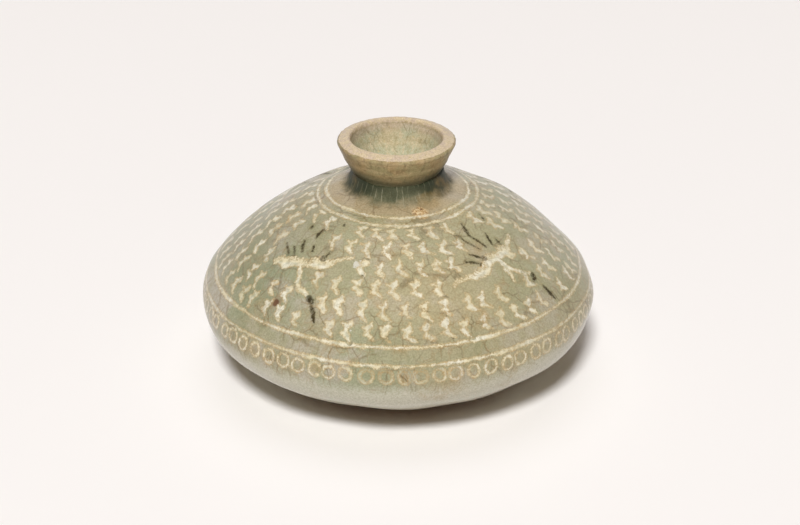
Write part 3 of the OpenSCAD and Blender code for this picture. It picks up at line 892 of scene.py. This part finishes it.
def ground_web(web, given, crackle, rays, specks):
    """Colour, roughness and relief of the glaze over plain clay, all over the body."""
    place = web.place()

    def spot(at, up, size, soft):
        """A spot on the body, rough at its edge."""
        middle = on_clay(np.array(at), np.array(up))
        gap = web.node("VectorMath", {0: place, 1: tuple(map(float, middle))}, operation="DISTANCE")
        rough = web.plus(gap.outputs["Value"], web.span(web.noise(place, 0.8, 4.0), -soft, soft))
        return web.rest(web.step(rough, size * 0.55, size))

    x, y, z = web.ways(place)
    radius = web.calc("SQRT", web.plus(web.times(x, x), web.times(y, y)))

    drift = web.noise(place, 26.0, 2.0)
    cloudy = web.noise(place, 9.0, 4.0, 0.6)
    mottle = web.noise(place, 2.2, 5.0, 0.65)
    grain = web.noise(place, 0.4, 3.0, 0.7)
    paint = Paint(web, grey_green)
    paint.patches(grey_mauve, drift, 0.36, 0.62, 0.85)
    paint.patches(blue_grey, cloudy, 0.5, 0.66, 0.7)
    paint.patches(deep_green, cloudy, 0.48, 0.3, 0.5)
    paint.patches(blue_grey, mottle, 0.5, 0.68, 0.4)
    paint.patches(warm_olive, x, -35.0, 40.0, 0.36)
    # Painted shade: the left side of the shoulder is darkened towards deep green.
    left_painted_shade = web.times(web.step(x, -16.0, -42.0), web.step(z, 23.0, 29.0))
    paint.laid(deep_green, left_painted_shade, 0.8)
    # Painted light: the front of the shoulder, where the lamp falls, is lightened towards a pale beige.
    from_front = web.calc("ABSOLUTE", web.minus(x, 6.0))
    thin = web.times(web.step(y, 4.0, -20.0), web.step(from_front, 36.0, 6.0))
    thin = web.times(thin, web.step(z, 25.0, 31.0))
    paint.laid(painted_light_beige, thin, 0.34)

    # The ground inside the inner neck line is browner, and the glaze pools dark green at the neck. The pool
    # is darkened at the sides and nearest the cup, partly its own deep colour and partly painted shade.
    above = web.calc("GREATER_THAN", z, belly_z)
    neck_zone = web.times(above, web.step(radius, 16.4, 14.6))
    paint.laid(neck_mauve, neck_zone, 0.8)
    ragged = web.plus(radius, web.span(web.noise(place, 2.2, 4.0), -1.6, 1.6))
    pool_wide = web.times(above, web.step(ragged, 13.6, 10.8))
    pool_deep = web.times(above, web.step(ragged, 11.8, 10.0))
    # Painted shade: beside darkens the pool and its deepest ring at the sides of the cup, and fades the pale
    # rays there.
    beside = web.step(y, -10.6, -7.2)
    pool = web.blend(beside, pool_green, pool_dark_and_shade)
    paint.laid(pool, pool_wide, web.span(beside, 0.84, 0.97))
    paint.laid(pool_teal, pool_deep, web.span(beside, 0.55, 1.0))
    ray = web.times(web.group(rays)["Crack"], web.times(above, web.step(radius, 14.5, 11.5)))
    paint.laid(ray_pale, ray, web.span(beside, 0.55, 0.2))

    # Below the widest line the glaze is thinner and paler, and the foot's edge is bare
    sunk = web.minus(z, web.times(web.step(x, 8.0, 40.0), 1.8))
    under = web.step(web.plus(sunk, web.span(mottle, -1.6, 1.6)), belly_z + 0.4, belly_z - 3.4)
    paint.laid(pale_grey, under, 0.8)
    bare = web.step(web.plus(z, web.span(mottle, -0.9, 0.9)), 4.6, 3.3)
    paint.blend(bare, bare_clay)

    # Stains gather in cracks and in patches
    stain_patch = web.step(web.noise(web.shaken(place, 5.0, 3.0), 8.0, 4.0, 0.6), 0.54, 0.74)
    whole = web.rest(web.most(web.times(under, 0.88), pool_wide))
    coarse = web.times(whole, web.group(crackle, Size=5.2, Width=0.22)["Crack"])
    fine = web.times(whole, web.group(crackle, Size=2.1, Width=0.15)["Crack"])
    for at, up, size in stains:
        stain_patch = web.most(stain_patch, spot(at, up, size, 0.9))
    paint.laid(ochre, stain_patch, 0.38)
    paint.laid(crack_brown, coarse, web.span(stain_patch, 0.6, 0.95))
    paint.laid(crack_ochre, fine, web.span(stain_patch, 0.38, 0.85))

    paint.tint(1.0, glaze_tint)
    paint.tint(web.step(grain, 0.3, 0.7), grain_shade)
    dark = web.group(specks, Size=2.3, Share=0.16, Radius=0.16)["Speck"]
    pale = web.group(specks, Size=5.2, Share=0.1, Radius=0.34)["Speck"]
    fleck = spot(fleck_at, fleck_up, fleck_r, 1.5)
    paint.laid(speck_brown, dark, 0.75)
    paint.laid(fleck_white, web.most(pale, fleck), 0.6)

    grit = spot(grit_at, grit_up, grit_r, 0.9)
    pit = spot(pit_at, pit_up, pit_r, 0.7)
    pit_rim = spot(pit_at, pit_up, 2.1, 0.5)
    crumbs = web.noise(place, 0.6, 3.0, 0.75)
    grit_colour = web.blend(web.step(crumbs, 0.5, 0.56), rust, grit_cream)
    grit_colour = web.blend(web.step(crumbs, 0.45, 0.39), grit_colour, pit_brown)
    paint.laid(grit_colour, grit, 0.85)
    paint.laid(bare_clay, pit_rim, 0.4)
    paint.blend(pit, pit_brown)

    dull = web.most(web.most(grit, pit), web.most(bare, pool_wide))
    rough = web.plus(web.span(mottle, 0.3, 0.44), web.times(dull, 0.3))
    relief = web.minus(web.span(mottle, 0.0, 0.6), web.times(coarse, 0.5))
    relief = web.plus(relief, web.times(grain, 0.25))
    return {"Color": paint.colour, "Roughness": rough, "Relief": relief, "Stain": stain_patch,
            "Gloss": web.rest(dull)}


def slip_web(web, given):
    """Where slip shows. Depth is the distance inside its drawing, Kept the part that time has left."""
    place = web.place()
    fray = web.span(web.noise(place, 0.42, 3.0, 0.7), -0.85, 0.85)
    fray = web.plus(fray, web.span(web.noise(place, 1.5, 2.0), -0.5, 0.5))
    ragged = web.plus(given["Depth"], web.times(fray, given["Ragged"]))
    ragged = web.plus(ragged, given["Bold"])
    body = web.step(ragged, -0.18, 0.28)
    wear = web.step(web.noise(web.shaken(place, 1.0, 0.6), 0.9, 4.0, 0.65), 0.36, 0.6)
    shown = web.times(given["Kept"], web.span(wear, 0.42, 1.0))
    near = web.times(web.step(ragged, -0.36, -0.05), web.rest(web.step(ragged, 0.05, 0.3)))
    inside_edge = web.step(given["Depth"], -slip_skirt, -0.2)
    return {"Slip": web.times(body, shown), "Halo": web.times(near, inside_edge)}


# Gloss of the finishes, and the depth of their relief
glaze_ior = 1.45
glaze_shine = 0.3
black_shine = 0.12
coat_rough = 0.1
glaze_coat = 0.45
pool_coat = 0.1
black_coat = 0.16
worn_coat = 0.1
relief_strength = 0.6
glaze_relief = 0.05
pool_relief = 0.04
cup_relief = 0.08


def make_material(name, finish, groups, shine=glaze_shine):
    """A material from its finish, which gives colour, roughness, relief, the relief's depth and coat."""
    material = bpy.data.materials.new(name)
    material.use_nodes = True
    web = Web(material.node_tree)
    colour, rough, relief, depth, coat = finish(web, *groups)
    bump = web.node("Bump", {"Strength": relief_strength, "Distance": depth * MM, "Height": relief})
    given = {"Base Color": colour, "Roughness": rough, "Normal": bump.outputs[0], "IOR": glaze_ior,
             "Specular IOR Level": shine, "Coat Weight": coat, "Coat Roughness": coat_rough}
    web.feed(material.node_tree.nodes["Principled BSDF"], given)
    return material


def celadon_finish(web, ground):
    """Grey green glaze over plain clay."""
    glaze = web.group(ground)
    coat = web.times(glaze["Gloss"], glaze_coat)
    return glaze["Color"], glaze["Roughness"], glaze["Relief"], glaze_relief, coat


def pool_finish(web, ground):
    """The same glaze where it pooled at the neck."""
    glaze = web.group(ground)
    return glaze["Color"], glaze["Roughness"], glaze["Relief"], pool_relief, pool_coat


def white_finish(web, ground, edge):
    """White slip under the glaze, stained ochre at its edge."""
    glaze = web.group(ground)
    depth = web.mark("slip")
    slip = web.group(edge, Depth=depth, Kept=web.mark("kept"), Bold=0.12, Ragged=1.0)
    place = web.place()
    fresh = web.plus(web.noise(place, 4.0, 3.0), web.times(depth, 0.3))
    tone = Paint(web, cream)
    tone.blend(web.step(fresh, 0.42, 0.7), cream_white)
    stained = web.step(web.noise(place, 2.6, 4.0, 0.65), 0.55, 0.72)
    tone.laid(ochre, stained, web.span(glaze["Stain"], 0.35, 0.8))
    tone.tint(web.span(web.noise(place, 0.45, 3.0), 0.0, 0.35), grey_mauve)
    paint = Paint(web, glaze["Color"])
    paint.laid(ochre, slip["Halo"], web.span(stained, 0.48, 1.0))
    paint.laid(tone.colour, slip["Slip"], 0.93)
    relief = web.plus(glaze["Relief"], web.times(slip["Slip"], 0.35))
    return paint.colour, glaze["Roughness"], relief, glaze_relief, glaze_coat


def black_finish(web, ground, edge):
    """Black slip under the glaze, brown where it is thin."""
    glaze = web.group(ground)
    slip = web.group(edge, Depth=web.mark("slip"), Kept=web.mark("kept"), Bold=0.01, Ragged=0.6)
    tone = web.blend(web.step(web.noise(web.place(), 0.8, 3.0), 0.46, 0.66), slip_black, slip_brown)
    paint = Paint(web, glaze["Color"])
    paint.laid(slip_brown, slip["Halo"], 0.3)
    paint.blend(web.calc("MINIMUM", 0.96, web.times(slip["Slip"], 1.4)), tone)
    return paint.colour, glaze["Roughness"], glaze["Relief"], glaze_relief, black_coat


def cup_finish(web, crackle, specks):
    """Worn glaze of the cup: tan outside, beige and pink on the lip, green inside."""
    place = web.place()
    cloudy = web.noise(place, 4.5, 4.0, 0.6)
    mottle = web.noise(place, 1.3, 5.0, 0.65)
    grain = web.noise(place, 0.35, 3.0, 0.7)
    turning = web.noise(web.vector("MULTIPLY", place, (0.3, 0.3, 1.6)), 1.5, 4.0, 0.6)
    runs = web.noise(web.vector("MULTIPLY", place, (1, 1, 0.3)), 1.0, 4.0, 0.65)
    outside = Paint(web, cup_brown)
    outside.blend(web.step(cloudy, 0.42, 0.62), cup_olive)
    outside.patches(cup_beige, turning, 0.48, 0.62, 0.45)
    outside.patches(cup_beige, mottle, 0.52, 0.7, 0.5)
    outside.tint(web.times(web.step(runs, 0.5, 0.36), 0.7), runs_and_shade_tint)
    lip = web.blend(web.step(mottle, 0.42, 0.62), lip_beige, lip_pink)
    inside = Paint(web, inside_green)
    inside.blend(web.span(web.step(cloudy, 0.4, 0.66), 0.15, 0.7), inside_tan)
    inside.patches(lip_beige, runs, 0.52, 0.66, 0.55)
    inside.patches(cup_olive, runs, 0.46, 0.36, 0.5)
    x, y, z = web.ways(place)
    drop = web.minus(lip_z, z)
    uneven_drop = web.plus(drop, web.span(mottle, -0.9, 0.9))
    from_middle = web.calc("ABSOLUTE", x)
    climb = web.plus(uneven_drop, web.times(y, 0.07))
    climb = web.plus(climb, web.times(from_middle, 0.17))
    # Painted shade: the cup's left side and the lower flank that curves in under it are darkened.
    cup_painted_shade = web.most(web.step(x, -7.0, -12.0), web.step(uneven_drop, 2.4, 6.0))
    outside.tint(web.times(cup_painted_shade, 0.6), runs_and_shade_tint)
    # The dark pooled glaze at the cup's foot rises higher at the sides, partly painted shade; at the front it
    # takes a lighter tone, painted light.
    beside = web.step(y, -9.3, -5.5)
    border = web.blend(beside, pool_lit_front, pool_dark_and_shade)
    outside.patches(border, climb, 4.0, 6.8, 0.9)
    inside.patches(lip_pink, uneven_drop, 2.4, 0.4, 0.6)
    ragged = web.plus(web.mark("lip"), web.span(mottle, -0.7, 0.7))
    paint = Paint(web, outside.colour)
    paint.blend(web.step(web.mark("inside"), 0.2, 0.9), inside.colour)
    paint.blend(web.step(ragged, 0.3, 0.7), lip)
    crack = web.group(crackle, Size=2.4, Width=0.16)["Crack"]
    paint.laid(crack_brown, crack, web.span(web.mark("inside"), 0.1, 0.4))
    dark = web.group(specks, Size=1.2, Share=0.3, Radius=0.16)["Speck"]
    pale = web.group(specks, Size=1.1, Share=0.4, Radius=0.24)["Speck"]
    paint.laid(speck_tan, pale, 0.5)
    paint.laid(speck_brown, dark, 0.6)
    paint.tint(web.step(grain, 0.34, 0.66), cup_grain)
    relief = web.plus(web.span(mottle, 0.0, 0.7), web.times(grain, 0.5))
    return paint.colour, web.span(mottle, 0.32, 0.5), relief, cup_relief, worn_coat


# Studio. The camera's place and aim are in millimetres, the lamps' and the floor's sizes in metres

camera_far = 450.0
camera_rise = math.radians(27.1)
aim = (0.5, 0.0, 24.1)
focal_pixels = 1941.0
photo_width = 800.0
sensor_width = 36.0
white_seen = (0.985, 0.968, 0.958, 1)
warm_fill = (1.0, 0.64, 0.38, 1)
fill_strength = 0.08
floor_r = 1.2
floor_columns = 96
floor_white = (0.95, 0.93, 0.92, 1)

# Place, size and power of each lamp
lamps = {"front_light": ((-0.48, -4.08, 4.84), 1.3, 392.0), "top_light": ((0.0, 1.0, 3.4), 3.0, 27.0)}


def studio_camera():
    """The camera, in front of the bottle and above it."""
    camera = add_object("camera", bpy.data.cameras.new("camera"))
    camera.data.sensor_width = sensor_width
    camera.data.lens = sensor_width * focal_pixels / photo_width
    camera.data.clip_start = 0.01
    seat = np.array([0, -camera_far * math.cos(camera_rise), belly_z + camera_far * math.sin(camera_rise)])
    camera.location = seat * MM
    away = np.array(aim) - seat
    pitch = math.atan2(-away[2], math.hypot(away[0], away[1]))
    camera.rotation_euler = (math.pi / 2 - pitch, 0, -math.atan2(away[0], away[1]))
    bpy.context.scene.camera = camera


def soft_lamp(name, place, size, power):
    """A large soft lamp that faces the bottle."""
    lamp = add_object(name, bpy.data.lights.new(name, "AREA"))
    lamp.data.shape = "DISK"
    lamp.data.size = size
    lamp.data.energy = power
    lamp.location = place
    lamp.visible_glossy = False
    x, y, z = place
    lamp.rotation_euler = (math.atan2(math.hypot(x, y), z), 0, math.atan2(-x, y) + math.pi)


def white_world():
    """White all round where it is seen or mirrored, and a soft warm fill as light."""
    world = bpy.data.worlds.new("studio")
    bpy.context.scene.world = world
    world.use_nodes = True
    web = Web(world.node_tree)
    path = web.node("LightPath")
    seen = web.most(path.outputs["Is Camera Ray"], path.outputs["Is Glossy Ray"])
    seen = web.most(seen, path.outputs["Is Transmission Ray"])
    given = {"Color": web.blend(seen, warm_fill, white_seen), "Strength": web.span(seen, fill_strength, 1.0)}
    web.feed(world.node_tree.nodes["Background"], given)


def pale_floor():
    """A round pale floor under the bottle."""
    material = bpy.data.materials.new("floor")
    material.use_nodes = True
    given = {"Base Color": floor_white, "Roughness": 0.9, "Specular IOR Level": 0.1}
    Web(material.node_tree).feed(material.node_tree.nodes["Principled BSDF"], given)
    edge = turned_rings([(floor_r, 0)], floor_columns)[0]
    floor = add_mesh("floor", edge, [range(floor_columns)], material)


studio_camera()
white_world()
pale_floor()
for name, (place, size, power) in lamps.items():
    soft_lamp(name, place, size, power)

crackle = make_group("crackle", ["Size", "Width"], crackle_web)
rays = make_group("neck_rays", [], ray_web)
specks = make_group("specks", ["Size", "Share", "Radius"], specks_web)
ground = make_group("celadon_ground", [], ground_web, [crackle, rays, specks])
edge = make_group("slip_edge", ["Depth", "Kept", "Bold", "Ragged"], slip_web)
celadon = make_material("celadon", celadon_finish, [ground])
white = make_material("white_slip", white_finish, [ground, edge])
black = make_material("black_slip", black_finish, [ground, edge], black_shine)
worn = make_material("worn_celadon", cup_finish, [crackle, specks])
pooled = make_material("pooled_glaze", pool_finish, [ground])

shoulder_dome(celadon)
lower_bowl(celadon)
mouth_cup(worn)
neck_glaze_pool(pooled)
for name, (up, lost) in inlaid_lines.items():
    inlaid_line(name, up, lost, white)
circle_row(white)
for row in range(len(cloud_ups)):
    cloud_row(row, white)
for name, (at, wings, whites, blacks) in cranes.items():
    crane(name, at, wings, whites, blacks, white, black)

bpy.context.scene.view_settings.view_transform = "Standard"
